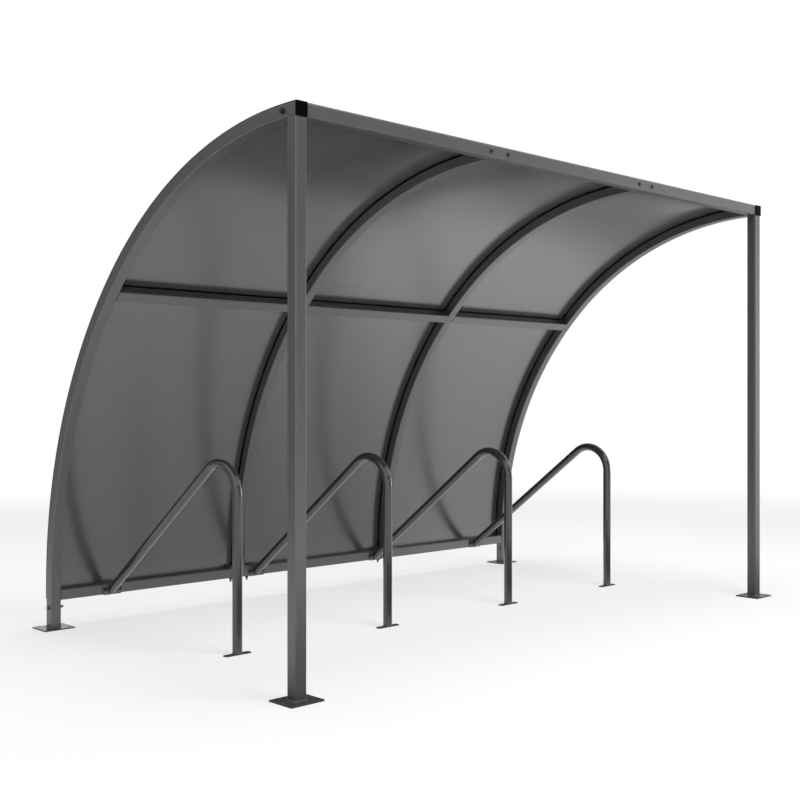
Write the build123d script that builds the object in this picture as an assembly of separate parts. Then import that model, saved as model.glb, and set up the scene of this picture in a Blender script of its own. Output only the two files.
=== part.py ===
from build123d import *
import math
import os

# Bike shelter: an open frame of square tube with curved ribs, a sheet roof and four bike hoops.
# Millimetres. X runs along the shelter, Y from the open front to the back, Z up.
# The origin is on the ground, midway between the end ribs and between the front and back feet.

# Bays and hoops along the shelter
bay_count = 3
bay_pitch = 1050.0
hoop_count = 4
hoop_end_gap = 288.0

# Square tube of the frame
tube = 50.0
tube_wall = 3.0
tube_corner = 5.0

# Curve of the ribs, measured on the tube's centre line
leg_height = 200.0
lower_bend_radius = 1950.0
upper_bend_radius = 1700.0
bend_change_angle = 47.0

# Rails
bottom_rail_height = 130.0
mid_rail_angle = 42.8

# Roof sheets
sheet = 1.5
sheet_seat = 0.2
sheet_joint = 2.0
sheet_front_inset = 4.0
sheet_bottom_inset = 8.0

# Base plates of posts and legs
base_length = 150.0
base_width = 130.0
base_thickness = 6.0
base_corner = 4.0
base_hole_inset = 20.0
base_hole_radius = 7.0

# Rear feet: a short tube on a base plate, with a spigot that the leg sits over and a cross bolt
foot_seam_height = 113.0
foot_bolt_drop = 16.0
spigot_length = 100.0
spigot_clearance = 0.2

# Caps in the open front ends of the end ribs
cap_overhang = 2.0
cap_thickness = 4.0
cap_plug_length = 22.0
cap_plug_wall = 2.5
cap_edge = 1.5

# Flange plates at both ends of the middle ribs
flange_length = 140.0
flange_width = 50.0
flange_thickness = 6.0
flange_corner = 4.0
flange_bolt_spacing = 104.0
bolt_hole_radius = 5.5

# Bike hoops of round tube
hoop_tube = 42.4
hoop_wall = 2.6
hoop_top = 811.0
hoop_bend_radius = 132.0
hoop_setback = 756.0
hoop_foot_length = 132.0
hoop_foot_width = 30.0
hoop_foot_thickness = 4.0
hoop_foot_corner = 10.0
hoop_foot_bolt_spacing = 100.0
hoop_foot_hole_radius = 6.0
hoop_plate_length = 96.0
hoop_plate_height = 54.0
hoop_plate_thickness = 5.0
hoop_plate_corner = 5.0
hoop_bolt_spacing = 72.0

# Places that follow from the sizes above
half_tube = tube / 2
bend_angle = math.radians(bend_change_angle)
radius_step = lower_bend_radius - upper_bend_radius
rib_reach = lower_bend_radius - radius_step * math.cos(bend_angle)
depth = rib_reach + half_tube
front_y = -depth / 2
back_y = depth / 2
beam_back_y = front_y + half_tube
rib_front_y = front_y - half_tube
lower_centre = (back_y - lower_bend_radius, leg_height)
upper_centre = (
    lower_centre[0] + radius_step * math.cos(bend_angle),
    lower_centre[1] + radius_step * math.sin(bend_angle),
)
beam_z = upper_centre[1] + upper_bend_radius
bottom_rail_z = bottom_rail_height + half_tube
rail_top_z = bottom_rail_height + tube
rail_front_y = back_y - half_tube
foot_bolt_z = foot_seam_height - foot_bolt_drop
rib_xs = [(i - bay_count / 2) * bay_pitch for i in range(bay_count + 1)]
middle_xs = rib_xs[1:-1]
hoop_pitch = (rib_xs[-1] - rib_xs[0] - 2 * hoop_end_gap) / (hoop_count - 1)
hoop_xs = [(i - (hoop_count - 1) / 2) * hoop_pitch for i in range(hoop_count)]
frame_length = rib_xs[-1] - rib_xs[0] - tube
sides = ("left", "right")


def tube_section(size, wall, corner):
    bore = size - 2 * wall
    return RectangleRounded(size, size, corner) - RectangleRounded(bore, bore, corner - wall)


def frame_section():
    return tube_section(tube, tube_wall, tube_corner)


def beam_tube(x_start, length, y, z, turn):
    # A length of frame tube along X, turned about its own axis.
    across = (0, math.cos(math.radians(turn)), math.sin(math.radians(turn)))
    plane = Plane(origin=(x_start, y, z), x_dir=across, z_dir=(1, 0, 0))
    return extrude(plane * frame_section(), amount=length)


def upright_tube(x, y, z_low, z_high):
    return extrude(Pos(x, y, z_low) * frame_section(), amount=z_high - z_low)


def bent_path(offset, z_low, y_end):
    # Upright leg, large lower bend, tighter upper bend and a level run over the front beam, at X zero.
    leg_y = back_y + offset
    top_z = beam_z + offset
    leg = Line((leg_y, z_low), (leg_y, leg_height))
    lower = CenterArc(lower_centre, lower_bend_radius + offset, 0, bend_change_angle)
    upper = CenterArc(upper_centre, upper_bend_radius + offset, bend_change_angle, 90 - bend_change_angle)
    run = Line((upper_centre[0], top_z), (y_end, top_z))
    return Plane.YZ * Wire([leg.edge(), lower.edge(), upper.edge(), run.edge()])


def swept(section, path):
    plane = Plane(origin=path @ 0, x_dir=(1, 0, 0), z_dir=path % 0)
    return sweep(plane * section, path=path)


def plate_with_holes(length, width, thickness, corner, places, hole_radius):
    # A flat plate on the XY plane, its holes drilled through at the given places.
    outline = RectangleRounded(length, width, corner)
    outline -= [Pos(x, y) * Circle(hole_radius) for x, y in places]
    return extrude(outline, amount=thickness)


def bolt_pair(spacing):
    return [(-spacing / 2, 0), (spacing / 2, 0)]


def cylinder_along(axis, x, y, z, radius, length):
    plane = Plane(origin=(x, y, z), z_dir=axis)
    return extrude(plane * Circle(radius), amount=length / 2, both=True)


def base_plate(x, y):
    span_x = base_length / 2 - base_hole_inset
    span_y = base_width / 2 - base_hole_inset
    places = [(i * span_x, j * span_y) for i in (-1, 1) for j in (-1, 1)]
    plate = plate_with_holes(
        base_length, base_width, base_thickness, base_corner, places, base_hole_radius
    )
    return Pos(x, y, 0) * plate


def front_post(x):
    return upright_tube(x, front_y, base_thickness, beam_z - half_tube)


def end_rib(x):
    return Pos(x, 0, 0) * swept(frame_section(), bent_path(0, foot_seam_height, rib_front_y))


def middle_rib(x):
    # The same bend as an end rib, cut off level on the rail's flange plate and square against the beam's.
    rib = swept(frame_section(), bent_path(0, foot_seam_height, rib_front_y))
    foot_plane = Plane(origin=(0, back_y, rail_top_z + flange_thickness), z_dir=(0, 0, 1))
    end_plane = Plane(origin=(0, beam_back_y + flange_thickness, beam_z), z_dir=(0, 1, 0))
    rib = split(rib, bisect_by=foot_plane, keep=Keep.TOP)
    return Pos(x, 0, 0) * split(rib, bisect_by=end_plane, keep=Keep.TOP)


def flange_plate():
    places = bolt_pair(flange_bolt_spacing)
    return plate_with_holes(
        flange_length, flange_width, flange_thickness, flange_corner, places, bolt_hole_radius
    )


def beam_flange(x):
    plane = Plane(origin=(x, beam_back_y, beam_z), x_dir=(-1, 0, 0), z_dir=(0, 1, 0))
    return plane * flange_plate()


def rail_flange(x):
    return Pos(x, back_y, rail_top_z) * flange_plate()


def front_beam():
    # The bolts of the middle ribs pass through both walls of the beam from the front.
    beam = beam_tube(-frame_length / 2, frame_length, front_y, beam_z, 0)
    for rib_x in middle_xs:
        for shift, _ in bolt_pair(flange_bolt_spacing):
            beam -= cylinder_along((0, 1, 0), rib_x + shift, front_y, beam_z, bolt_hole_radius, 2 * tube)
    return beam


def bottom_rail():
    # Upright bolts hold the middle ribs, and bolts in the front wall hold the hoops.
    rail = beam_tube(-frame_length / 2, frame_length, back_y, bottom_rail_z, 0)
    for rib_x in middle_xs:
        for shift, _ in bolt_pair(flange_bolt_spacing):
            rail -= cylinder_along((0, 0, 1), rib_x + shift, back_y, bottom_rail_z, bolt_hole_radius, 2 * tube)
    for hoop_x in hoop_xs:
        for shift, _ in bolt_pair(hoop_bolt_spacing):
            hole = cylinder_along((0, 1, 0), hoop_x + shift, rail_front_y, bottom_rail_z, bolt_hole_radius, tube)
            rail -= hole
    return rail


def mid_rail(x_start):
    turn = math.radians(mid_rail_angle)
    y = lower_centre[0] + lower_bend_radius * math.cos(turn)
    z = lower_centre[1] + lower_bend_radius * math.sin(turn)
    return beam_tube(x_start + half_tube, bay_pitch - tube, y, z, mid_rail_angle)


def roof_sheet(x_low, x_high):
    offset = half_tube + sheet_seat + sheet / 2
    path = bent_path(offset, bottom_rail_height + sheet_bottom_inset, rib_front_y + sheet_front_inset)
    return Pos((x_low + x_high) / 2, 0, 0) * swept(Rectangle(x_high - x_low, sheet), path)


def foot_bolt_hole(x):
    return cylinder_along((1, 0, 0), x, back_y, foot_bolt_z, bolt_hole_radius, 2 * tube)


def rear_foot(x):
    return upright_tube(x, back_y, base_thickness, foot_seam_height) - foot_bolt_hole(x)


def rear_spigot(x):
    size = tube - 2 * tube_wall - 2 * spigot_clearance
    corner = tube_corner - tube_wall - spigot_clearance
    section = RectangleRounded(size, size, corner) - Rectangle(size - 2 * tube_wall, size - 2 * tube_wall)
    spigot = extrude(Pos(x, back_y, foot_seam_height - spigot_length / 2) * section, amount=spigot_length)
    return spigot - foot_bolt_hole(x)


def rib_end_cap(x):
    # A moulded cover with a hollow plug that pushes into the rib.
    size = tube + 2 * cap_overhang
    plug = tube - 2 * tube_wall - 2 * spigot_clearance
    plug_bore = plug - 2 * cap_plug_wall
    face = Plane(origin=(x, rib_front_y, beam_z), x_dir=(1, 0, 0), z_dir=(0, -1, 0))
    cover = extrude(face * RectangleRounded(size, size, tube_corner), amount=cap_thickness)
    cover = fillet(cover.faces().sort_by(Axis.Y)[0].edges(), cap_edge)
    section = RectangleRounded(plug, plug, tube_corner - tube_wall) - Rectangle(plug_bore, plug_bore)
    return cover + extrude(face * section, amount=-cap_plug_length)


def bike_hoop(x):
    # Upright leg, one large bend over the top and a straight run down to the bottom rail.
    leg_y = front_y + hoop_setback
    bend_y = leg_y + hoop_bend_radius
    bend_z = hoop_top - hoop_tube / 2 - hoop_bend_radius
    end_y = rail_front_y - hoop_plate_thickness
    reach_y = end_y - bend_y
    reach_z = bottom_rail_z - bend_z
    distance = math.hypot(reach_y, reach_z)
    leave = math.degrees(math.atan2(reach_z, reach_y) + math.acos(hoop_bend_radius / distance))
    run_length = math.sqrt(distance**2 - hoop_bend_radius**2) + hoop_tube
    leg = Line((leg_y, hoop_foot_thickness), (leg_y, bend_z))
    bend = CenterArc((bend_y, bend_z), hoop_bend_radius, 180, leave - 180)
    run = Line(bend @ 1, (bend @ 1) + (bend % 1) * run_length)
    path = Plane.YZ * Wire([leg.edge(), bend.edge(), run.edge()])
    ring = Circle(hoop_tube / 2) - Circle(hoop_tube / 2 - hoop_wall)
    end_plane = Plane(origin=(0, end_y, bottom_rail_z), z_dir=(0, 1, 0))
    return Pos(x, 0, 0) * split(swept(ring, path), bisect_by=end_plane, keep=Keep.BOTTOM)


def hoop_foot_plate(x):
    plate = plate_with_holes(
        hoop_foot_length,
        hoop_foot_width,
        hoop_foot_thickness,
        hoop_foot_corner,
        bolt_pair(hoop_foot_bolt_spacing),
        hoop_foot_hole_radius,
    )
    return Pos(x, front_y + hoop_setback, 0) * plate


def hoop_rail_plate(x):
    plane = Plane(origin=(x, rail_front_y, bottom_rail_z), x_dir=(1, 0, 0), z_dir=(0, -1, 0))
    return plane * plate_with_holes(
        hoop_plate_length,
        hoop_plate_height,
        hoop_plate_thickness,
        hoop_plate_corner,
        bolt_pair(hoop_bolt_spacing),
        bolt_hole_radius,
    )


def end_pieces():
    # The left and right ends of the shelter are alike.
    pieces = {}
    for side, x in zip(sides, (rib_xs[0], rib_xs[-1])):
        pieces[f"front_base_plate_{side}"] = base_plate(x, front_y)
        pieces[f"front_post_{side}"] = front_post(x)
        pieces[f"end_rib_{side}"] = end_rib(x)
        pieces[f"rib_end_cap_{side}"] = rib_end_cap(x)
        pieces[f"rear_base_plate_{side}"] = base_plate(x, back_y)
        pieces[f"rear_foot_{side}"] = rear_foot(x)
        pieces[f"rear_spigot_{side}"] = rear_spigot(x)
    return pieces


def middle_pieces():
    pieces = {}
    for number, x in enumerate(middle_xs, 1):
        pieces[f"middle_rib_{number}"] = middle_rib(x)
        pieces[f"beam_flange_{number}"] = beam_flange(x)
        pieces[f"rail_flange_{number}"] = rail_flange(x)
    return pieces


def long_pieces():
    pieces = {"front_beam": front_beam(), "bottom_rail": bottom_rail()}
    for number, x in enumerate(rib_xs[:-1], 1):
        first = number == 1
        last = number == bay_count
        x_low = x - half_tube if first else x + sheet_joint / 2
        x_high = x + bay_pitch + half_tube if last else x + bay_pitch - sheet_joint / 2
        pieces[f"mid_rail_{number}"] = mid_rail(x)
        pieces[f"roof_sheet_{number}"] = roof_sheet(x_low, x_high)
    return pieces


def hoop_pieces():
    pieces = {}
    for number, x in enumerate(hoop_xs, 1):
        pieces[f"bike_hoop_{number}"] = bike_hoop(x)
        pieces[f"hoop_foot_plate_{number}"] = hoop_foot_plate(x)
        pieces[f"hoop_rail_plate_{number}"] = hoop_rail_plate(x)
    return pieces


os.makedirs("parts", exist_ok=True)
for name, piece in {**end_pieces(), **middle_pieces(), **long_pieces(), **hoop_pieces()}.items():
    export_step(piece, f"parts/{name}.step")
print(f"depth {depth:.1f}, rib top {beam_z + half_tube:.1f}")
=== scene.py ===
import math

import bpy
from mathutils import Matrix, Vector


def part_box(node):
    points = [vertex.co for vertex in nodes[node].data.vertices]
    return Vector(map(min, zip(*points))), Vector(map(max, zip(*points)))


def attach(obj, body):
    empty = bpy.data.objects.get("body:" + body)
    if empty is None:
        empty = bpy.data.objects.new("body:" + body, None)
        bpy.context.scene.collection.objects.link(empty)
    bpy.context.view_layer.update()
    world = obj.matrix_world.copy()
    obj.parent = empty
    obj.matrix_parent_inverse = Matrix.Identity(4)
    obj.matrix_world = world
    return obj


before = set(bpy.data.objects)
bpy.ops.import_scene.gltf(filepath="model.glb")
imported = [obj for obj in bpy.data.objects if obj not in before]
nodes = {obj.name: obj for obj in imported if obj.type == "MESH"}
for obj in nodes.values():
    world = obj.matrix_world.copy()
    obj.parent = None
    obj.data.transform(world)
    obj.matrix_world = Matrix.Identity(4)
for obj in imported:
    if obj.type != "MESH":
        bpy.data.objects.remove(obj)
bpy.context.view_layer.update()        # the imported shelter, in metres, is the fixed frame
print("frame loaded with", len(nodes), "nodes")

middleRibs = (1, 2)      # the numbers in the names of the nodes
bays = (1, 2, 3)
hoops = (1, 2, 3, 4)


# Small helpers for the work by hand

smoothAngle = 35.0       # degrees; sharper edges stay crisp
hexSides = 6
quarterTurn = math.radians(90)


def clearSelection():
    if bpy.context.object and bpy.context.object.mode != "OBJECT":
        bpy.ops.object.mode_set(mode="OBJECT")
    bpy.ops.object.select_all(action="DESELECT")


def makeActive(piece):
    clearSelection()
    piece.select_set(True)
    bpy.context.view_layer.objects.active = piece


def editAll(piece, kind="FACE"):
    # edit mode with everything selected
    makeActive(piece)
    bpy.ops.object.mode_set(mode="EDIT")
    bpy.ops.mesh.select_mode(type=kind)
    bpy.ops.mesh.select_all(action="SELECT")


def editEdges(piece, wanted):
    # edit mode with only the edges whose two ends pass the test selected
    makeActive(piece)
    bpy.ops.object.mode_set(mode="EDIT")
    bpy.ops.mesh.select_mode(type="EDGE")
    bpy.ops.mesh.select_all(action="DESELECT")
    bpy.ops.object.mode_set(mode="OBJECT")
    points = piece.data.vertices
    for edge in piece.data.edges:
        edge.select = all(wanted(points[i].co) for i in edge.vertices)
    bpy.ops.object.mode_set(mode="EDIT")


def leaveEdit():
    bpy.ops.object.mode_set(mode="OBJECT")


def leaveFacingOut():
    bpy.ops.mesh.select_all(action="SELECT")
    bpy.ops.mesh.normals_make_consistent(inside=False)
    leaveEdit()


def applyPlace(piece):
    makeActive(piece)
    bpy.ops.object.transform_apply(location=True, rotation=True, scale=True)


def applyModifiers(piece):
    makeActive(piece)
    for modifier in list(piece.modifiers):
        bpy.ops.object.modifier_apply(modifier=modifier.name)


def addRound(sides, radius, depth, middle):
    # an upright cylinder with its middle at a height
    clearSelection()
    bpy.ops.mesh.primitive_cylinder_add(
        vertices=sides, radius=radius, depth=depth, location=(0, 0, middle)
    )
    body = bpy.context.object
    applyPlace(body)
    return body


def hexRadius(across):
    return across / math.sqrt(3)


def bevelEdges(piece, wanted, offset, steps=1):
    editEdges(piece, wanted)
    bpy.ops.mesh.bevel(offset=offset, segments=steps)
    leaveEdit()


def cutWith(body, tool, operation):
    cut = body.modifiers.new("cut", "BOOLEAN")
    cut.operation = operation
    cut.solver = "EXACT"
    cut.object = tool
    applyModifiers(body)
    bpy.data.objects.remove(tool)


def joinPieces(pieces, name):
    clearSelection()
    for piece in pieces:
        piece.select_set(True)
    bpy.context.view_layer.objects.active = pieces[0]
    bpy.ops.object.join()
    joined = bpy.context.object
    joined.name = name
    return joined


def placeCopy(source, name, spot, axis, turn=0.0):
    # a copy with its own mesh, its +Z turned to the axis, its place moved into the mesh
    makeActive(source)
    bpy.ops.object.duplicate(linked=False)
    copy = bpy.context.object
    copy.name = name
    spin = Vector((0, 0, 1)).rotation_difference(Vector(axis)).to_matrix().to_4x4()
    copy.rotation_euler = (spin @ Matrix.Rotation(turn, 4, "Z")).to_euler()
    copy.location = spot
    applyPlace(copy)
    return copy


def finishPiece(piece, material):
    piece.data.materials.clear()
    piece.data.materials.append(material)
    makeActive(piece)
    bpy.ops.object.shade_smooth_by_angle(angle=math.radians(smoothAngle))
    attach(piece, "root")


def centreOf(node):
    low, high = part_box(node)
    return (low + high) / 2


# Camera at the photograph's place

photoView = {
    "place": (-4.116, -4.0828, 1.061),
    "heading": 43.74,        # degrees clockwise from +Y
    "lens": 51.84,           # mm
    "sensor": 36.0,          # mm
    "reach": 200.0,
}


def setCamera():
    turn = (quarterTurn, 0, -math.radians(photoView["heading"]))
    bpy.ops.object.camera_add(location=photoView["place"], rotation=turn)
    camera = bpy.context.object
    camera.name = "photoCamera"
    camera.data.lens = photoView["lens"]
    camera.data.sensor_width = photoView["sensor"]
    camera.data.clip_end = photoView["reach"]
    bpy.context.scene.camera = camera


clearSelection()
setCamera()
print("camera set")


# Node helpers

plainWhite = (1, 1, 1, 1)
mixedFirst = 6           # the colours' own sockets on a mix node
mixedSecond = 7
mixedResult = 2


def setInputs(node, values):
    for key, value in values.items():
        node.inputs[key].default_value = value


def addNode(tree, kind, inputs=None, **settings):
    node = tree.nodes.new(kind)
    for key, value in settings.items():
        setattr(node, key, value)
    setInputs(node, inputs or {})
    return node


def addNoise(tree, detail, rough=0.5):
    return addNode(tree, "ShaderNodeTexNoise", {"Detail": detail, "Roughness": rough})


def wire(tree, source, output, target, entry):
    tree.links.new(source.outputs[output], target.inputs[entry])


def bareMaterial(name):
    material = bpy.data.materials.new(name)
    material.use_nodes = True
    material.node_tree.nodes.clear()
    return material, material.node_tree


def newGroup(name, inputs, outputs):
    # inputs: name to starting value, a vector where the value is None
    tree = bpy.data.node_groups.new(name, "ShaderNodeTree")
    for key, value in inputs.items():
        kind = "NodeSocketVector" if value is None else "NodeSocketFloat"
        socket = tree.interface.new_socket(name=key, in_out="INPUT", socket_type=kind)
        if value is not None:
            socket.default_value = value
    for key in outputs:
        tree.interface.new_socket(name=key, in_out="OUTPUT", socket_type="NodeSocketFloat")
    return tree, addNode(tree, "NodeGroupInput"), addNode(tree, "NodeGroupOutput")


# Effects that the finishes share

coatPeelLook = {
    "peel": 420.0,           # the scale of the peel
    "peelDetail": 2.0,
    "peelRough": 0.5,
    "grit": 0.3,             # the grit's share of the height
    "gritFiner": 3.7,        # times the scale of the peel
    "gritDetail": 1.0,
}


def makeCoatPeel():
    # fine orange peel of baked powder coat, with a finer grit in it
    look = coatPeelLook
    inputs = {"Vector": None, "Peel": look["peel"], "Grit": look["grit"]}
    tree, entry, result = newGroup("coatPeel", inputs, ["Height"])
    peel = addNoise(tree, look["peelDetail"], look["peelRough"])
    gritScale = addNode(tree, "ShaderNodeMath", {1: look["gritFiner"]}, operation="MULTIPLY")
    grit = addNoise(tree, look["gritDetail"])
    mix = addNode(tree, "ShaderNodeMix", data_type="FLOAT")
    wire(tree, entry, "Vector", peel, "Vector")
    wire(tree, entry, "Vector", grit, "Vector")
    wire(tree, entry, "Peel", peel, "Scale")
    wire(tree, entry, "Peel", gritScale, 0)
    wire(tree, gritScale, 0, grit, "Scale")
    wire(tree, entry, "Grit", mix, 0)
    wire(tree, peel, "Fac", mix, 2)   # 2 and 3 are the numbers' own sockets
    wire(tree, grit, "Fac", mix, 3)
    wire(tree, mix, 0, result, "Height")
    return tree


rainFilmLook = {
    "patch": 3.0,            # the scale of the dusty patches
    "patchDetail": 4.0,
    "patchRough": 0.55,
    "run": 26.0,             # the scale of the run marks
    "runStretch": (1.0, 1.0, 0.06),
    "runDetail": 3.0,
    "runRough": 0.6,
    "clean": 0.16,
    "dusty": 0.40,
}


def makeRainFilm():
    # thin film of dust with upright run marks, 0 clean to 1 dusty
    look = rainFilmLook
    inputs = {"Vector": None, "Patch": look["patch"], "Run": look["run"]}
    tree, entry, result = newGroup("rainFilm", inputs, ["Film"])
    patch = addNoise(tree, look["patchDetail"], look["patchRough"])
    stretch = addNode(tree, "ShaderNodeMapping", {"Scale": look["runStretch"]})
    run = addNoise(tree, look["runDetail"], look["runRough"])
    mix = addNode(tree, "ShaderNodeMath", operation="MULTIPLY")
    level = addNode(tree, "ShaderNodeMapRange", {"From Min": look["clean"], "From Max": look["dusty"]})
    wire(tree, entry, "Vector", patch, "Vector")
    wire(tree, entry, "Patch", patch, "Scale")
    wire(tree, entry, "Vector", stretch, "Vector")
    wire(tree, stretch, "Vector", run, "Vector")
    wire(tree, entry, "Run", run, "Scale")
    wire(tree, patch, "Fac", mix, 0)
    wire(tree, run, "Fac", mix, 1)
    wire(tree, mix, 0, level, "Value")
    wire(tree, level, 0, result, "Film")
    return tree


thinEdgeLook = {
    "radius": 0.0016,        # how far in from the edge the coat is thin
    "samples": 4,
    "flat": 0.99,            # how far the rounded and the flat direction agree
    "sharp": 0.86,
    "break": 60.0,           # the scale of the gaps along an edge
    "breakDetail": 3.0,
    "breakRough": 0.6,
    "whole": 0.35,
    "worn": 0.62,
}


def makeThinEdge():
    # where an edge is sharp the coat pulls thin, broken up along its length; on the painted steel the
    # lighter edge is also a painted highlight
    look = thinEdgeLook
    inputs = {"Vector": None, "Radius": look["radius"], "Break": look["break"]}
    tree, entry, result = newGroup("thinEdge", inputs, ["Edge"])
    rounded = addNode(tree, "ShaderNodeBevel", samples=look["samples"])
    flat = addNode(tree, "ShaderNodeNewGeometry")
    facing = addNode(tree, "ShaderNodeVectorMath", operation="DOT_PRODUCT")
    level = addNode(tree, "ShaderNodeMapRange", {"From Min": look["flat"], "From Max": look["sharp"]})
    gaps = addNoise(tree, look["breakDetail"], look["breakRough"])
    gapLevel = addNode(tree, "ShaderNodeMapRange", {"From Min": look["whole"], "From Max": look["worn"]})
    mask = addNode(tree, "ShaderNodeMath", operation="MULTIPLY")
    wire(tree, entry, "Radius", rounded, "Radius")
    wire(tree, rounded, "Normal", facing, 0)
    wire(tree, flat, "Normal", facing, 1)
    wire(tree, facing, "Value", level, "Value")
    wire(tree, entry, "Vector", gaps, "Vector")
    wire(tree, entry, "Break", gaps, "Scale")
    wire(tree, gaps, "Fac", gapLevel, "Value")
    wire(tree, level, 0, mask, 0)
    wire(tree, gapLevel, 0, mask, 1)
    wire(tree, mask, 0, result, "Edge")
    return tree


coatPeel = makeCoatPeel()
rainFilm = makeRainFilm()
thinEdge = makeThinEdge()


# Finishes

def startFinish(name):
    material, tree = bareMaterial(name)
    place = addNode(tree, "ShaderNodeTexCoord")
    shader = addNode(tree, "ShaderNodeBsdfPrincipled")
    result = addNode(tree, "ShaderNodeOutputMaterial")
    wire(tree, shader, "BSDF", result, "Surface")
    return material, tree, place, shader


def addEffect(tree, place, group, inputs):
    node = addNode(tree, "ShaderNodeGroup", inputs, node_tree=group)
    wire(tree, place, "Object", node, "Vector")
    return node


def mixColour(tree, mask, output, first, second, amount):
    # second over first by a mask, at most by amount; first is a colour or another mix
    share = addNode(tree, "ShaderNodeMath", {1: amount}, operation="MULTIPLY")
    mix = addNode(tree, "ShaderNodeMix", data_type="RGBA")
    wire(tree, mask, output, share, 0)
    wire(tree, share, 0, mix, 0)
    if isinstance(first, bpy.types.Node):
        wire(tree, first, mixedResult, mix, mixedFirst)
    else:
        mix.inputs[mixedFirst].default_value = (*first, 1.0)
    mix.inputs[mixedSecond].default_value = (*second, 1.0)
    return mix


def addBump(tree, source, output, shader, depth):
    bump = addNode(tree, "ShaderNodeBump", {"Distance": depth})
    wire(tree, source, output, bump, "Height")
    wire(tree, bump, "Normal", shader, "Normal")


def addRoughness(tree, source, output, shader, low, high):
    level = addNode(tree, "ShaderNodeMapRange", {"To Min": low, "To Max": high})
    wire(tree, source, output, level, "Value")
    wire(tree, level, 0, shader, "Roughness")


def makeCoatedSteel(name, look):
    material, tree, place, shader = startFinish(name)
    peel = addEffect(tree, place, coatPeel, {"Peel": look["peel"]})
    film = addEffect(tree, place, rainFilm, {"Patch": look["patch"], "Run": look["run"]})
    edge = addEffect(tree, place, thinEdge, {"Radius": look["edge"]})
    dusty = mixColour(tree, film, "Film", look["coat"], look["dust"], look["dustAmount"])
    # thin coat at the edges, made lighter still as a painted highlight along every edge
    worn = mixColour(tree, edge, "Edge", dusty, look["thin"], look["edgeThinAndSheenAmount"])
    wire(tree, worn, mixedResult, shader, "Base Color")
    addRoughness(tree, film, "Film", shader, look["smooth"], look["dull"])
    addBump(tree, peel, "Height", shader, look["peelDepth"])
    setInputs(shader, {"Metallic": look["metallic"], "Specular IOR Level": look["gloss"]})
    setInputs(shader, {"Coat Weight": look["clear"], "Coat Roughness": look["clearRough"]})
    return material


framePaintLook = {
    "coat": (0.164, 0.1608, 0.155),
    "dust": (0.186, 0.1823, 0.176),
    "dustAmount": 0.15,
    # the lighter edge colour is partly thin coat and partly a painted highlight along the edges
    "thin": (0.36, 0.353, 0.34),
    "edgeThinAndSheenAmount": 0.35,
    "peel": 420.0,
    "peelDepth": 0.00003,
    "patch": 2.4,
    "run": 24.0,
    "edge": 0.0016,
    "smooth": 0.30,
    "dull": 0.34,
    "metallic": 0.65,
    "gloss": 0.5,
    "clear": 0.0,            # clear lacquer over the coat
    "clearRough": 0.06,
}
hoopPaintLook = {
    **framePaintLook,
    "coat": (0.070, 0.0686, 0.0662),
    "dust": (0.084, 0.0823, 0.0794),
    # lighter edge colour: partly thin coat, partly painted highlight
    "thin": (0.17, 0.167, 0.16),
    "smooth": 0.19,
    "dull": 0.23,
    "peelDepth": 0.00002,
    "clear": 0.8,
}
# a darker copy of the frame paint for the feet: painted shade, since their tops get little light from
# above
shadedPlateLook = {
    **framePaintLook,
    "coat": (0.068, 0.0666, 0.0643),
    "dust": (0.090, 0.0882, 0.085),
    # lighter edge colour: partly thin coat, partly painted highlight
    "thin": (0.12, 0.1176, 0.1135),
    "smooth": 0.20,
    "dull": 0.30,
    "metallic": 0.4,
}

framePaint = makeCoatedSteel("framePaint", framePaintLook)
hoopPaint = makeCoatedSteel("hoopPaint", hoopPaintLook)
shadedPlatePaint = makeCoatedSteel("shadedPlatePaint", shadedPlateLook)   # feet on the ground, darker than the frame


sheetPaintLook = {
    "coat": (0.172, 0.1688, 0.1632),
    "streak": (0.196, 0.1923, 0.186),
    "streakAmount": 0.5,
    "peel": 300.0,
    "peelDepth": 0.000001,
    "grit": 0.1,
    "patch": 1.3,
    "run": 14.0,
    "smooth": 0.20,
    "dull": 0.24,
    "metallic": 0.75,
    "gloss": 0.5,
    "rollScale": (46.0, 1.2, 1.2),   # coating lines run round the bend
    "rollDetail": 4.0,
    "rollRough": 0.6,
}


def makeSheetPaint():
    look = sheetPaintLook
    material, tree, place, shader = startFinish("sheetPaint")
    peel = addEffect(tree, place, coatPeel, {"Peel": look["peel"], "Grit": look["grit"]})
    film = addEffect(tree, place, rainFilm, {"Patch": look["patch"], "Run": look["run"]})
    stretch = addNode(tree, "ShaderNodeMapping", {"Scale": look["rollScale"]})
    roll = addNoise(tree, look["rollDetail"], look["rollRough"])
    setInputs(roll, {"Scale": 1.0})
    wire(tree, place, "Object", stretch, "Vector")
    wire(tree, stretch, "Vector", roll, "Vector")
    colour = mixColour(tree, roll, "Fac", look["coat"], look["streak"], look["streakAmount"])
    wire(tree, colour, mixedResult, shader, "Base Color")
    addRoughness(tree, film, "Film", shader, look["smooth"], look["dull"])
    addBump(tree, peel, "Height", shader, look["peelDepth"])
    setInputs(shader, {"Metallic": look["metallic"], "Specular IOR Level": look["gloss"]})
    return material


sheetPaint = makeSheetPaint()


capPlasticLook = {
    "black": (0.0020, 0.0020, 0.0020),
    "scuff": (0.006, 0.006, 0.006),
    "scuffAmount": 0.4,
    "peel": 900.0,
    "peelDepth": 0.00005,
    "grit": 0.6,
    "patch": 18.0,
    "run": 60.0,
    "edge": 0.001,
    "edgeBreak": 140.0,
    "smooth": 0.42,
    "dull": 0.58,
    "gloss": 0.02,
}


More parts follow.
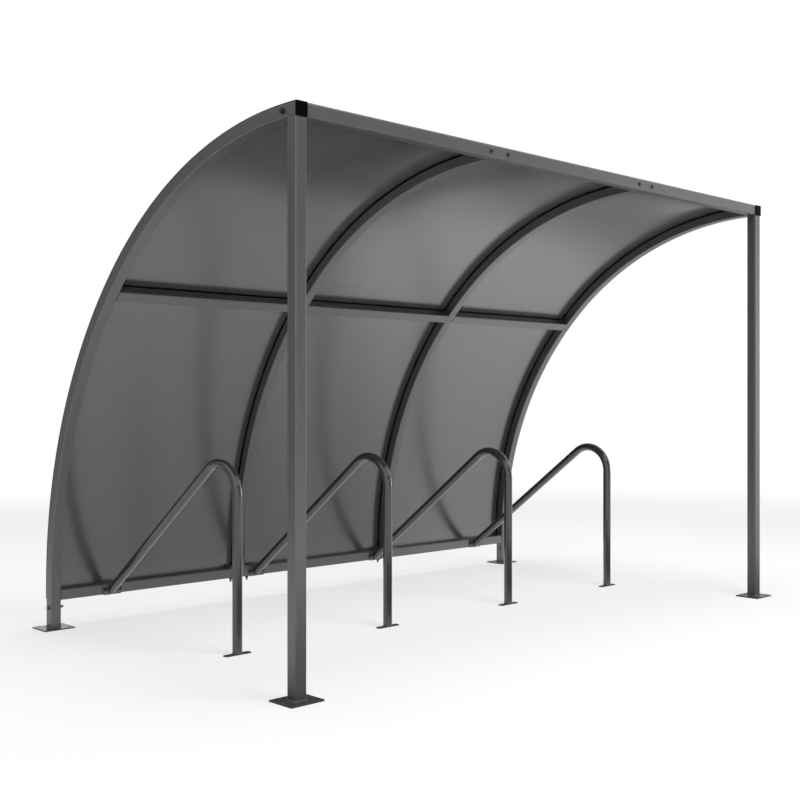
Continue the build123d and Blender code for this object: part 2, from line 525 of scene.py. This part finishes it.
def makeCapPlastic():
    look = capPlasticLook
    material, tree, place, shader = startFinish("capPlastic")
    peel = addEffect(tree, place, coatPeel, {"Peel": look["peel"], "Grit": look["grit"]})
    film = addEffect(tree, place, rainFilm, {"Patch": look["patch"], "Run": look["run"]})
    edge = addEffect(tree, place, thinEdge, {"Radius": look["edge"], "Break": look["edgeBreak"]})
    colour = mixColour(tree, edge, "Edge", look["black"], look["scuff"], look["scuffAmount"])
    wire(tree, colour, mixedResult, shader, "Base Color")
    addRoughness(tree, film, "Film", shader, look["smooth"], look["dull"])
    addBump(tree, peel, "Height", shader, look["peelDepth"])
    setInputs(shader, {"Specular IOR Level": look["gloss"]})
    return material


capPlastic = makeCapPlastic()


boltSteelLook = {
    "zinc": (0.050, 0.049, 0.048),
    "rub": (0.24, 0.235, 0.225),
    "rubAmount": 0.6,
    "edge": 0.0006,
    "edgeBreak": 400.0,
    "turning": 1500.0,       # the scale of the tool marks
    "turningDepth": 0.00003,
    "grit": 0.5,
    "smooth": 0.30,
    "dull": 0.48,
    "metallic": 0.85,
}


def makeBoltSteel():
    # dark passivated steel with tool marks
    look = boltSteelLook
    material, tree, place, shader = startFinish("boltSteel")
    edge = addEffect(tree, place, thinEdge, {"Radius": look["edge"], "Break": look["edgeBreak"]})
    marks = addEffect(tree, place, coatPeel, {"Peel": look["turning"], "Grit": look["grit"]})
    colour = mixColour(tree, edge, "Edge", look["zinc"], look["rub"], look["rubAmount"])
    wire(tree, colour, mixedResult, shader, "Base Color")
    addRoughness(tree, marks, "Height", shader, look["smooth"], look["dull"])
    addBump(tree, marks, "Height", shader, look["turningDepth"])
    setInputs(shader, {"Metallic": look["metallic"]})
    return material


boltSteel = makeBoltSteel()

finishOfSlot = {
    "frame_paint": framePaint,
    "hoop_paint": hoopPaint,
    "sheet_paint": sheetPaint,
    "cap_plastic": capPlastic,
}
for name, node in nodes.items():
    for entry in node.material_slots:
        # the feet take the darker copy of the frame paint, which is painted shade
        if "base_plate" in name or "foot_plate" in name:
            entry.material = shadedPlatePaint
        elif "rail_plate" in name:
            entry.material = framePaint   # painted with the rail it is bolted to
        else:
            entry.material = finishOfSlot[entry.material.name]
print("finishes on the frame")


# Bolts

boltSizes = {
    "across": 0.017,         # hex across the flats
    "headHeight": 0.0064,
    "nutHeight": 0.0084,
    "chamfer": 0.0011,
    "collarSides": 48,
    "collarShare": 1.005,    # the round cutter stands clear of the hex corners
    "overrun": 0.0005,       # and past both ends
    "washerRadius": 0.0105,
    "washerThickness": 0.002,
    "washerSides": 40,
    "washerEdge": 0.0004,
    "washerSteps": 2,
    "threadRadius": 0.005,
    "threadPitch": 0.0016,
    "threadSides": 24,
    "threadRootShare": 0.84,
}


def modelHex(height, low, bothEnds):
    # hex body cut to arcs at its corners by a round body with bevelled rims
    size = boltSizes
    corner = hexRadius(size["across"])
    middle = low + height / 2
    body = addRound(hexSides, corner, height, middle)
    collarDepth = height + 2 * size["overrun"]
    collar = addRound(size["collarSides"], corner * size["collarShare"], collarDepth, middle)
    rims = [lambda p: p.z > low + height]
    if bothEnds:
        rims.append(lambda p: p.z < low)
    for rim in rims:
        bevelEdges(collar, rim, size["chamfer"] + size["overrun"])
    cutWith(body, collar, "INTERSECT")
    return body


def modelWasher(low):
    size = boltSizes
    middle = low + size["washerThickness"] / 2
    washer = addRound(size["washerSides"], size["washerRadius"], size["washerThickness"], middle)
    bevelEdges(washer, lambda p: p.z > middle, size["washerEdge"], size["washerSteps"])
    return washer


def modelThread(top, length):
    # downwards from top: ridges by extruding and scaling, then a chamfered tip
    size = boltSizes
    half = size["threadPitch"] / 2
    root = size["threadRootShare"]
    clearSelection()
    bpy.ops.mesh.primitive_circle_add(
        vertices=size["threadSides"], radius=size["threadRadius"], fill_type="NGON", location=(0, 0, top)
    )
    thread = bpy.context.object
    applyPlace(thread)
    editAll(thread)
    for ridge in range(round(length / size["threadPitch"])):
        for scale in (root, 1 / root):
            bpy.ops.mesh.extrude_region_move(TRANSFORM_OT_translate={"value": (0, 0, -half)})
            bpy.ops.transform.resize(value=(scale, scale, 1))
    bpy.ops.mesh.extrude_region_move(TRANSFORM_OT_translate={"value": (0, 0, -half)})
    bpy.ops.transform.resize(value=(root, root, 1))
    leaveFacingOut()
    return thread


buttonSizes = {
    "radius": 0.0085,
    "height": 0.0048,
    "sides": 48,
    "dome": 0.0034,
    "domeSteps": 6,
    "socketAcross": 0.006,
    "socketDepth": 0.0028,
}


def modelButtonHead():
    # low round head with a hex socket, seated at height zero
    size = buttonSizes
    middle = size["height"] / 2
    head = addRound(size["sides"], size["radius"], size["height"], middle)
    bevelEdges(head, lambda p: p.z > middle, size["dome"], size["domeSteps"])
    socket = addRound(hexSides, hexRadius(size["socketAcross"]), 2 * size["socketDepth"], size["height"])
    cutWith(head, socket, "DIFFERENCE")
    return head


def modelHeadBolt(name):
    # head and washer, seated at height zero
    size = boltSizes
    washer = modelWasher(0.0)
    head = modelHex(size["headHeight"], size["washerThickness"], False)
    return joinPieces([head, washer], name)


def modelThroughBolt(name, grip, end, button=False):
    # head above zero, and a nut with the bolt's end below the clamped thickness
    size = boltSizes
    head = modelButtonHead() if button else modelHeadBolt(name)
    under = -grip - size["washerThickness"]
    washer = modelWasher(under)
    nut = modelHex(size["nutHeight"], under - size["nutHeight"], True)
    thread = modelThread(under - size["nutHeight"], end)
    return joinPieces([head, washer, nut, thread], name)


boltPlaces = {
    "flangeSpacing": 0.104,
    "hoopSpacing": 0.072,
    "footHeight": 0.097,
    "shortEnd": 0.0032,      # the thread past the nut
    "longEnd": 0.0112,
    "ribSideBack": 0.0743,   # behind the front end of the rib
    "turnStep": 0.61,        # no two heads stand alike
}


def fitBeamAndRailBolts():
    places = boltPlaces
    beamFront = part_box("front_beam")[0].y
    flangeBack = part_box("beam_flange_1")[1].y
    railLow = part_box("bottom_rail")[0].z
    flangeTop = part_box("rail_flange_1")[1].z
    beamZ = centreOf("front_beam").z
    railY = centreOf("bottom_rail").y
    beamBolt = modelThroughBolt("beamBolt", flangeBack - beamFront, places["shortEnd"], button=True)
    railBolt = modelThroughBolt("railBolt", flangeTop - railLow, places["longEnd"])
    count = 0
    for number in middleRibs:
        ribX = centreOf(f"middle_rib_{number}").x
        for side in (-1, 1):
            count += 1
            x = ribX + side * places["flangeSpacing"] / 2
            turn = count * places["turnStep"]
            spot = (x, beamFront, beamZ)
            finishPiece(placeCopy(beamBolt, f"beamBolt_{count}", spot, (0, -1, 0), turn), boltSteel)
            spot = (x, railY, flangeTop)
            finishPiece(placeCopy(railBolt, f"railBolt_{count}", spot, (0, 0, 1), turn), boltSteel)
    bpy.data.objects.remove(beamBolt)
    bpy.data.objects.remove(railBolt)


def fitHoopBolts():
    # on the hoops' rail plates, and one on the outer side of each end rib
    places = boltPlaces
    plateBolt = modelHeadBolt("hoopBolt")
    count = 0
    for number in hoops:
        plate = f"hoop_rail_plate_{number}"
        middle = centreOf(plate)
        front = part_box(plate)[0].y
        for side in (-1, 1):
            count += 1
            spot = (middle.x + side * places["hoopSpacing"] / 2, front, middle.z)
            turn = count * places["turnStep"]
            finishPiece(placeCopy(plateBolt, f"hoopBolt_{count}", spot, (0, -1, 0), turn), boltSteel)
    for side, outward in (("left", -1), ("right", 1)):
        low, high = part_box(f"end_rib_{side}")
        x = low.x if outward < 0 else high.x
        spot = (x, low.y + places["ribSideBack"], centreOf("front_beam").z)
        finishPiece(placeCopy(plateBolt, f"ribBolt_{side}", spot, (outward, 0, 0)), boltSteel)
    bpy.data.objects.remove(plateBolt)


def fitFootBolts():
    places = boltPlaces
    low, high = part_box("rear_foot_left")
    footBolt = modelThroughBolt("footBolt", high.x - low.x, places["longEnd"])
    for side in ("left", "right"):
        low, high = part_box(f"rear_foot_{side}")
        spot = (low.x, (low.y + high.y) / 2, places["footHeight"])
        finishPiece(placeCopy(footBolt, f"footBolt_{side}", spot, (-1, 0, 0)), framePaint)
    bpy.data.objects.remove(footBolt)


fitBeamAndRailBolts()
fitHoopBolts()
fitFootBolts()
print("bolts fitted")


# Weld beads

weldSizes = {
    "bead": 0.0030,          # radius of one drop
    "pitch": 0.0030,
    "flatShare": 0.72,
    "dropSides": 10,
    "dropRings": 6,
    "tubeCorner": 0.005,
    "cornerSteps": 5,
    "roundSteps": 96,        # round a hoop's joint
    "hoopStretch": 1.252,    # the hoop meets its rail plate at a slope
    "footReach": 0.0125,     # half the width of the foot bar that the bead runs over
    "endReach": 0.0200,
    "cornerTrim": 0.010,     # a straight bead stops short of the rounded corners
}


def modelDrop():
    # one drop of the bead, thin along it and round across
    size = weldSizes
    clearSelection()
    bpy.ops.mesh.primitive_uv_sphere_add(
        segments=size["dropSides"], ring_count=size["dropRings"], radius=size["bead"]
    )
    drop = bpy.context.object
    editAll(drop)
    bpy.ops.transform.resize(value=(size["flatShare"], 1, 1))
    leaveEdit()
    return drop


def addRow(drop, step):
    row = drop.modifiers.new("row", "ARRAY")
    row.use_relative_offset = False
    row.use_constant_offset = True
    row.constant_offset_displace = step
    return row


def beadAlong(loop, name):
    makeActive(loop)
    bpy.ops.object.convert(target="CURVE")
    path = bpy.context.object
    drop = modelDrop()
    row = addRow(drop, (weldSizes["pitch"], 0, 0))
    row.fit_type = "FIT_CURVE"
    row.curve = path
    bend = drop.modifiers.new("bend", "CURVE")
    bend.object = path
    bend.deform_axis = "POS_X"
    applyModifiers(drop)
    bpy.data.objects.remove(path)
    drop.name = name
    return drop


def modelSquareWeld(side):
    size = weldSizes
    clearSelection()
    bpy.ops.mesh.primitive_plane_add(size=side)
    loop = bpy.context.object
    editAll(loop)
    bpy.ops.mesh.bevel(offset=size["tubeCorner"], segments=size["cornerSteps"], affect="VERTICES")
    bpy.ops.mesh.select_all(action="SELECT")
    bpy.ops.mesh.delete(type="ONLY_FACE")
    leaveEdit()
    return beadAlong(loop, "squareWeld")


def modelSideWeld(radius, stretch, reach):
    # the part of a round joint that lies at +X, as far up and down as the reach
    clearSelection()
    bpy.ops.mesh.primitive_circle_add(vertices=weldSizes["roundSteps"], radius=radius)
    loop = bpy.context.object
    editAll(loop, "VERT")
    bpy.ops.transform.resize(value=(1, stretch, 1))
    leaveEdit()
    editEdges(loop, lambda p: p.x < 0 or abs(p.y) > reach)
    bpy.ops.mesh.select_mode(type="VERT")
    bpy.ops.mesh.delete(type="VERT")
    leaveEdit()
    return beadAlong(loop, "sideWeld")


def modelStraightWeld(length):
    # a row of drops along Z, with its middle at the origin
    size = weldSizes
    drop = modelDrop()
    editAll(drop)
    bpy.ops.transform.rotate(value=quarterTurn, orient_axis="Y", center_override=(0, 0, 0))
    bpy.ops.transform.translate(value=(0, 0, -length / 2))
    leaveEdit()
    row = addRow(drop, (0, 0, size["pitch"]))
    row.count = max(2, round(length / size["pitch"]))
    applyModifiers(drop)
    drop.name = "straightWeld"
    return drop


def fitFootWelds():
    postLow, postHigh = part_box("front_post_left")
    squareWeld = modelSquareWeld(postHigh.x - postLow.x)
    for side in ("left", "right"):
        for place in ("front_post", "rear_foot"):
            node = f"{place}_{side}"
            middle = centreOf(node)
            spot = (middle.x, middle.y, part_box(node)[0].z)
            weld = placeCopy(squareWeld, f"{place}Weld_{side}", spot, (0, 0, 1))
            finishPiece(weld, framePaint)
    bpy.data.objects.remove(squareWeld)


def fitHoopWelds():
    size = weldSizes
    hoopLow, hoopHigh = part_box("bike_hoop_1")
    radius = (hoopHigh.x - hoopLow.x) / 2
    footWeld = modelSideWeld(radius, 1.0, size["footReach"])
    endWeld = modelSideWeld(radius, size["hoopStretch"], size["endReach"])
    for number in hoops:
        foot = centreOf(f"hoop_foot_plate_{number}")
        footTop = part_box(f"hoop_foot_plate_{number}")[1].z
        plate = centreOf(f"hoop_rail_plate_{number}")
        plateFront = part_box(f"hoop_rail_plate_{number}")[0].y
        for side, turn in (("right", 0.0), ("left", math.pi)):
            spot = (foot.x, foot.y, footTop)
            weld = placeCopy(footWeld, f"hoopFootWeld_{number}_{side}", spot, (0, 0, 1), turn)
            finishPiece(weld, hoopPaint)
            spot = (plate.x, plateFront, plate.z)
            weld = placeCopy(endWeld, f"hoopEndWeld_{number}_{side}", spot, (0, -1, 0), turn)
            finishPiece(weld, hoopPaint)
    bpy.data.objects.remove(footWeld)
    bpy.data.objects.remove(endWeld)


def fitFrameWelds():
    # straight beads in the corners where one tube runs into another or onto a flange plate
    tubeLow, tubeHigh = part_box("front_post_left")
    bead = modelStraightWeld(tubeHigh.x - tubeLow.x - weldSizes["cornerTrim"])
    beam = centreOf("front_beam")
    rail = centreOf("bottom_rail")
    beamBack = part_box("front_beam")[1].y
    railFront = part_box("bottom_rail")[0].y
    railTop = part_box("bottom_rail")[1].z
    rows = []
    for name, inward in (("left", 1), ("right", -1)):
        low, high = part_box(f"end_rib_{name}")
        inner = high.x if inward > 0 else low.x
        post = centreOf(f"front_post_{name}")
        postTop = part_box(f"front_post_{name}")[1].z
        rows.append((f"beamEndWeld_{name}", (inner, beamBack, beam.z), (0, 0, 1)))
        rows.append((f"railEndWeld_{name}", (inner, railFront, rail.z), (0, 0, 1)))
        rows.append((f"railTopWeld_{name}", (inner, rail.y, railTop), (0, 1, 0)))
        rows.append((f"postTopWeld_{name}", (post.x, beamBack, postTop), (1, 0, 0)))
    for number in middleRibs:
        low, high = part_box(f"middle_rib_{number}")
        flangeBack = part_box(f"beam_flange_{number}")[1].y
        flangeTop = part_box(f"rail_flange_{number}")[1].z
        for name, x in (("left", low.x), ("right", high.x)):
            rows.append((f"ribTopWeld_{number}_{name}", (x, flangeBack, beam.z), (0, 0, 1)))
            rows.append((f"ribFootWeld_{number}_{name}", (x, rail.y, flangeTop), (0, 1, 0)))
    for name, spot, axis in rows:
        finishPiece(placeCopy(bead, name, spot, axis), framePaint)
    bpy.data.objects.remove(bead)


fitFootWelds()
fitHoopWelds()
fitFrameWelds()
print("welds laid")


# Screws that hold the sheets, on the outside

ribCurve = {
    "legHeight": 0.200,
    "lowerRadius": 1.950,    # on the middle of the tube
    "upperRadius": 1.700,
    "changeAngle": 47.0,     # where the lower bend passes into the upper one
}


def bendMiddles():
    # the angle of the change, then the middles of the two bends as (y, z)
    curve = ribCurve
    change = math.radians(curve["changeAngle"])
    step = curve["lowerRadius"] - curve["upperRadius"]
    lowerY = centreOf("bottom_rail").y - curve["lowerRadius"]
    upperY = lowerY + step * math.cos(change)
    upperZ = curve["legHeight"] + step * math.sin(change)
    return change, (lowerY, curve["legHeight"]), (upperY, upperZ)


screwSizes = {
    "washerRadius": 0.0070,
    "washerHeight": 0.0014,
    "washerSides": 20,
    "washerEdge": 0.0005,
    "headAcross": 0.0080,
    "headHeight": 0.0040,
    "headEdge": 0.0007,
    "spacing": 0.36,
    "endGap": 0.12,
    "edgeGap": 0.0125,       # from a sheet's edge to its row of screws
    "turnStep": 0.5,
}


def modelScrew():
    # hex head on a round washer, seated at height zero
    size = screwSizes
    washerMiddle = size["washerHeight"] / 2
    washer = addRound(size["washerSides"], size["washerRadius"], size["washerHeight"], washerMiddle)
    bevelEdges(washer, lambda p: p.z > washerMiddle, size["washerEdge"])
    headMiddle = size["washerHeight"] + size["headHeight"] / 2
    head = addRound(hexSides, hexRadius(size["headAcross"]), size["headHeight"], headMiddle)
    bevelEdges(head, lambda p: p.z > headMiddle, size["headEdge"])
    return joinPieces([head, washer], "sheetScrew")


def outsideSpots(start, spacing, count):
    # places along the outside of a sheet, from the foot upwards: (y, z) and the outward direction
    change, (lowerY, lowerZ), (upperY, upperZ) = bendMiddles()
    sheetLow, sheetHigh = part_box("roof_sheet_1")
    lowerOut = sheetHigh.y - lowerY
    upperOut = lowerOut - (ribCurve["lowerRadius"] - ribCurve["upperRadius"])
    straight = lowerZ - sheetLow.z
    spots = []
    for index in range(count):
        along = start + index * spacing
        if along < straight:
            spots.append(((sheetHigh.y, sheetLow.z + along), (1.0, 0.0)))
            continue
        angle = (along - straight) / lowerOut
        middleY, middleZ, reach = lowerY, lowerZ, lowerOut
        if angle >= change:
            angle = change + (along - straight - lowerOut * change) / upperOut
            angle = min(angle, quarterTurn)
            middleY, middleZ, reach = upperY, upperZ, upperOut
        outY = math.cos(angle)
        outZ = math.sin(angle)
        spots.append(((middleY + reach * outY, middleZ + reach * outZ), (outY, outZ)))
    return spots


def fitSheetScrews():
    size = screwSizes
    screw = modelScrew()
    length = quarterTurn * (ribCurve["lowerRadius"] + ribCurve["upperRadius"]) / 2
    count = int((length - 2 * size["endGap"]) / size["spacing"]) + 1
    spots = outsideSpots(size["endGap"], size["spacing"], count)
    for number in bays:
        low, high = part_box(f"roof_sheet_{number}")
        pieces = []
        for x in (low.x + size["edgeGap"], high.x - size["edgeGap"]):
            for index, ((y, z), (outY, outZ)) in enumerate(spots):
                turn = size["turnStep"] * index
                pieces.append(placeCopy(screw, "screw", (x, y, z), (0, outY, outZ), turn))
        finishPiece(joinPieces(pieces, f"sheetScrews_{number}"), boltSteel)
    bpy.data.objects.remove(screw)


fitSheetScrews()
print("sheets screwed down")


# Black cords in the joints between the sheets and the tubes: painted shade, dark strips laid where the
# joints only lie in shade

# sizes of the black cords that paint shade into the joints
jointShadeCordSizes = {
    "radius": 0.0034,
    "sides": 8,
    "clear": 0.0004,         # how far its middle stands out of the side of the tube
    "foot": 0.010,           # above the lower edge of the sheet
    "topAngle": 89.4,
    "lowerSteps": 30,
    "upperSteps": 26,
    "railSide": 0.050,
    "railAngle": 42.8,
}


def modelRibCord(foot):
    # at X zero: up the straight foot, then round the two bends of the rib
    size = jointShadeCordSizes
    change, (lowerY, lowerZ), (upperY, upperZ) = bendMiddles()
    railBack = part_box("bottom_rail")[1].y
    clearSelection()
    bpy.ops.mesh.primitive_circle_add(
        vertices=size["sides"], radius=size["radius"], location=(0, railBack - size["radius"], foot)
    )
    cord = bpy.context.object
    applyPlace(cord)
    editAll(cord, "EDGE")
    bpy.ops.mesh.edge_face_add()
    bpy.ops.mesh.select_all(action="SELECT")
    bpy.ops.mesh.extrude_region_move(TRANSFORM_OT_translate={"value": (0, 0, lowerZ - foot)})
    rest = math.radians(size["topAngle"]) - change
    bpy.ops.mesh.spin(
        steps=size["lowerSteps"], angle=change, center=(0, lowerY, lowerZ), axis=(-1, 0, 0)
    )
    bpy.ops.mesh.spin(
        steps=size["upperSteps"], angle=rest, center=(0, upperY, upperZ), axis=(-1, 0, 0)
    )
    leaveFacingOut()
    return cord


def modelRailCord(length):
    # a straight cord along X with its middle at the origin
    size = jointShadeCordSizes
    clearSelection()
    bpy.ops.mesh.primitive_circle_add(vertices=size["sides"], radius=size["radius"], fill_type="NGON")
    cord = bpy.context.object
    editAll(cord)
    bpy.ops.transform.rotate(value=quarterTurn, orient_axis="Y", center_override=(0, 0, 0))
    bpy.ops.transform.translate(value=(-length / 2, 0, 0))
    bpy.ops.mesh.extrude_region_move(TRANSFORM_OT_translate={"value": (length, 0, 0)})
    leaveFacingOut()
    return cord


def fitRibCords():
    size = jointShadeCordSizes
    legCord = modelRibCord(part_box("roof_sheet_1")[0].z + size["foot"])
    ribCord = modelRibCord(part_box("rail_flange_1")[1].z)
    sides = []
    for name, inward in (("left", 1), ("right", -1)):
        low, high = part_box(f"end_rib_{name}")
        inner = high.x if inward > 0 else low.x
        sides.append((legCord, f"jointShadeCord_{name}", inner + inward * size["clear"]))
    for number in middleRibs:
        low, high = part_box(f"middle_rib_{number}")
        sides.append((ribCord, f"jointShadeCord_{number}_left", low.x - size["clear"]))
        sides.append((ribCord, f"jointShadeCord_{number}_right", high.x + size["clear"]))
    for cord, name, x in sides:
        # each cord is painted shade along a side of a rib, in the black cap plastic
        finishPiece(placeCopy(cord, name, (x, 0, 0), (0, 0, 1)), capPlastic)
    bpy.data.objects.remove(legCord)
    bpy.data.objects.remove(ribCord)


def fitRailCords():
    # above and below each length of the middle rail, which leans with the sheet
    size = jointShadeCordSizes
    angle = math.radians(size["railAngle"])
    outward = Vector((0, math.cos(angle), math.sin(angle)))
    upward = Vector((0, -math.sin(angle), math.cos(angle)))
    half = size["railSide"] / 2
    for number in bays:
        low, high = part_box(f"mid_rail_{number}")
        cord = modelRailCord(high.x - low.x)
        middle = (low + high) / 2 + outward * (half - size["radius"])
        for name, side in (("upper", 1), ("lower", -1)):
            spot = middle + upward * side * (half + size["clear"])
            # each cord is painted shade along an edge of the middle rail, in the black cap plastic
            piece = placeCopy(cord, f"railCord_{number}_{name}", spot, (0, 0, 1))
            finishPiece(piece, capPlastic)
        bpy.data.objects.remove(cord)


fitRibCords()
fitRailCords()
# the black cords stand for shade in the joints
print("dark cords laid as joint shade")


# Studio: world, floor, cards and lamps

studio = {
    "fill": 0.06,            # the world's light on the object
    "floorRadius": 60.0,
    "floorSides": 128,
    "floorShade": 0.92,
    "floorShown": 0.7,       # share of plain white that is seen near the object
    "fadeStart": 4.5,        # from here to the end of the fade the floor turns plain white
    "fadeEnd": 9.0,
}


def addShownRays(tree):
    # 1 for rays that see the backdrop itself, 0 for light on the object
    path = addNode(tree, "ShaderNodeLightPath")
    first = addNode(tree, "ShaderNodeMath", operation="MAXIMUM")
    second = addNode(tree, "ShaderNodeMath", operation="MAXIMUM")
    wire(tree, path, "Is Camera Ray", first, 0)
    wire(tree, path, "Is Glossy Ray", first, 1)
    wire(tree, first, 0, second, 0)
    wire(tree, path, "Is Transmission Ray", second, 1)
    return second


def mixShaders(tree, share, first, second, resultKind):
    # second over first by a share, into the output
    mix = addNode(tree, "ShaderNodeMixShader")
    result = addNode(tree, resultKind)
    wire(tree, share, 0, mix, 0)
    wire(tree, first, 0, mix, 1)
    wire(tree, second, 0, mix, 2)
    wire(tree, mix, 0, result, "Surface")


def setWorld():
    world = bpy.data.worlds.new("paleStudio")
    bpy.context.scene.world = world
    world.use_nodes = True
    tree = world.node_tree
    tree.nodes.clear()
    shown = addShownRays(tree)
    white = addNode(tree, "ShaderNodeBackground", {"Color": plainWhite, "Strength": 1.0})
    fill = addNode(tree, "ShaderNodeBackground", {"Color": plainWhite, "Strength": studio["fill"]})
    mixShaders(tree, shown, fill, white, "ShaderNodeOutputWorld")


def layFloor():
    clearSelection()
    bpy.ops.mesh.primitive_circle_add(
        vertices=studio["floorSides"], radius=studio["floorRadius"], fill_type="NGON"
    )
    floor = bpy.context.object
    floor.name = "paleFloor"
    material, tree = bareMaterial("paleFloor")
    shade = studio["floorShade"]
    lit = addNode(tree, "ShaderNodeBsdfDiffuse", {"Color": (shade, shade, shade, 1)})
    white = addNode(tree, "ShaderNodeEmission", {"Color": plainWhite, "Strength": 1.0})
    shown = addShownRays(tree)
    place = addNode(tree, "ShaderNodeTexCoord")
    away = addNode(tree, "ShaderNodeVectorMath", operation="LENGTH")
    fade = addNode(
        tree,
        "ShaderNodeMapRange",
        {"From Min": studio["fadeStart"], "From Max": studio["fadeEnd"], "To Min": studio["floorShown"]},
        interpolation_type="SMOOTHSTEP",
    )
    share = addNode(tree, "ShaderNodeMath", operation="MULTIPLY")
    wire(tree, place, "Object", away, 0)
    wire(tree, away, "Value", fade, "Value")
    wire(tree, fade, 0, share, 0)
    wire(tree, shown, 0, share, 1)
    mixShaders(tree, share, lit, white, "ShaderNodeOutputMaterial")
    floor.data.materials.append(material)


cardCore = 0.5   # a card fades out from this share of its half size to its rim
cardSet = {
    # name: middle, width, height, tilt and turn in degrees, shade; only reflections see them
    "backCard": ((6.8, 3.2, 0.9), 8.0, 2.9, 90.0, 0.0, 0.02),
    "rightFloorCard": ((4.6, 2.6, 0.004), 6.0, 5.0, 0.0, 0.0, 0.4),
    "frontCard": ((3.0, -7.0, 1.1), 13.0, 3.2, 90.0, 0.0, 0.36),
    "frontHighCard": ((3.0, -7.0, 3.6), 14.0, 3.6, 90.0, 0.0, 0.1),
    "leftCard": ((-3.4, 2.2, 1.6), 8.0, 5.0, 90.0, 45.0, 0.42),
    "floorCard": ((0.1, -1.4, 0.004), 7.4, 2.8, 0.0, 0.0, 0.2),
    "glowFloorCard": ((2.6, 0.35, 0.006), 4.0, 1.4, 0.0, 0.0, 1.35),
}


def paintCard(name, middle, turned, halves, shade):
    # a glow that is even in the core and fades out to the rim
    material, tree = bareMaterial(name)
    place = addNode(tree, "ShaderNodeTexCoord")
    own = {"Location": middle, "Rotation": turned, "Scale": halves}
    spread = addNode(tree, "ShaderNodeMapping", own, vector_type="TEXTURE")
    away = addNode(tree, "ShaderNodeVectorMath", operation="LENGTH")
    rim = {"From Min": cardCore, "From Max": 1.0}
    fade = addNode(tree, "ShaderNodeMapRange", rim, interpolation_type="SMOOTHSTEP")
    grey = addNode(tree, "ShaderNodeEmission", {"Color": plainWhite, "Strength": shade})
    clear = addNode(tree, "ShaderNodeBsdfTransparent")
    wire(tree, place, "Object", spread, "Vector")
    wire(tree, spread, "Vector", away, 0)
    wire(tree, away, "Value", fade, "Value")
    mixShaders(tree, fade, grey, clear, "ShaderNodeOutputMaterial")
    return material


def standCards():
    for name, (middle, width, height, tilt, turn, shade) in cardSet.items():
        turned = (math.radians(tilt), 0.0, math.radians(turn))
        clearSelection()
        bpy.ops.mesh.primitive_plane_add(size=1.0, location=middle)
        card = bpy.context.object
        card.name = name
        card.scale = (width, height, 1.0)
        card.rotation_euler = turned
        applyPlace(card)
        card.data.materials.append(paintCard(name, middle, turned, (width / 2, height / 2, 1.0), shade))
        card.visible_camera = False
        card.visible_diffuse = False
        card.visible_shadow = False


lampSet = {
    # name: place, aim, width, height, watts, and whether reflections show it
    "highFront": ((0.0, -5.0, 7.0), (0.0, 0.0, 1.0), 4.0, 3.0, 520.0, False),
    "overhead": ((0.0, 0.0, 8.0), (0.0, 0.0, 1.0), 4.0, 4.0, 430.0, False),
    "rightPanel": ((14.0, -3.2, 1.5), (0.0, 0.0, 1.1), 1.5, 3.4, 160.0, True),
}


def hangLamps():
    # the upper two stay out of reflections, so that they leave no white patch on the sheets
    for name, (place, aim, width, height, watts, mirrored) in lampSet.items():
        clearSelection()
        bpy.ops.object.light_add(type="AREA", location=place)
        lamp = bpy.context.object
        lamp.name = name
        lamp.data.shape = "RECTANGLE"
        lamp.data.size = width
        lamp.data.size_y = height
        lamp.data.energy = watts
        lamp.rotation_euler = (Vector(aim) - Vector(place)).to_track_quat("-Z", "Y").to_euler()
        lamp.visible_camera = False
        lamp.visible_glossy = mirrored


setWorld()
layFloor()
standCards()
hangLamps()
bpy.context.scene.view_settings.view_transform = "Standard"
print("studio lit")
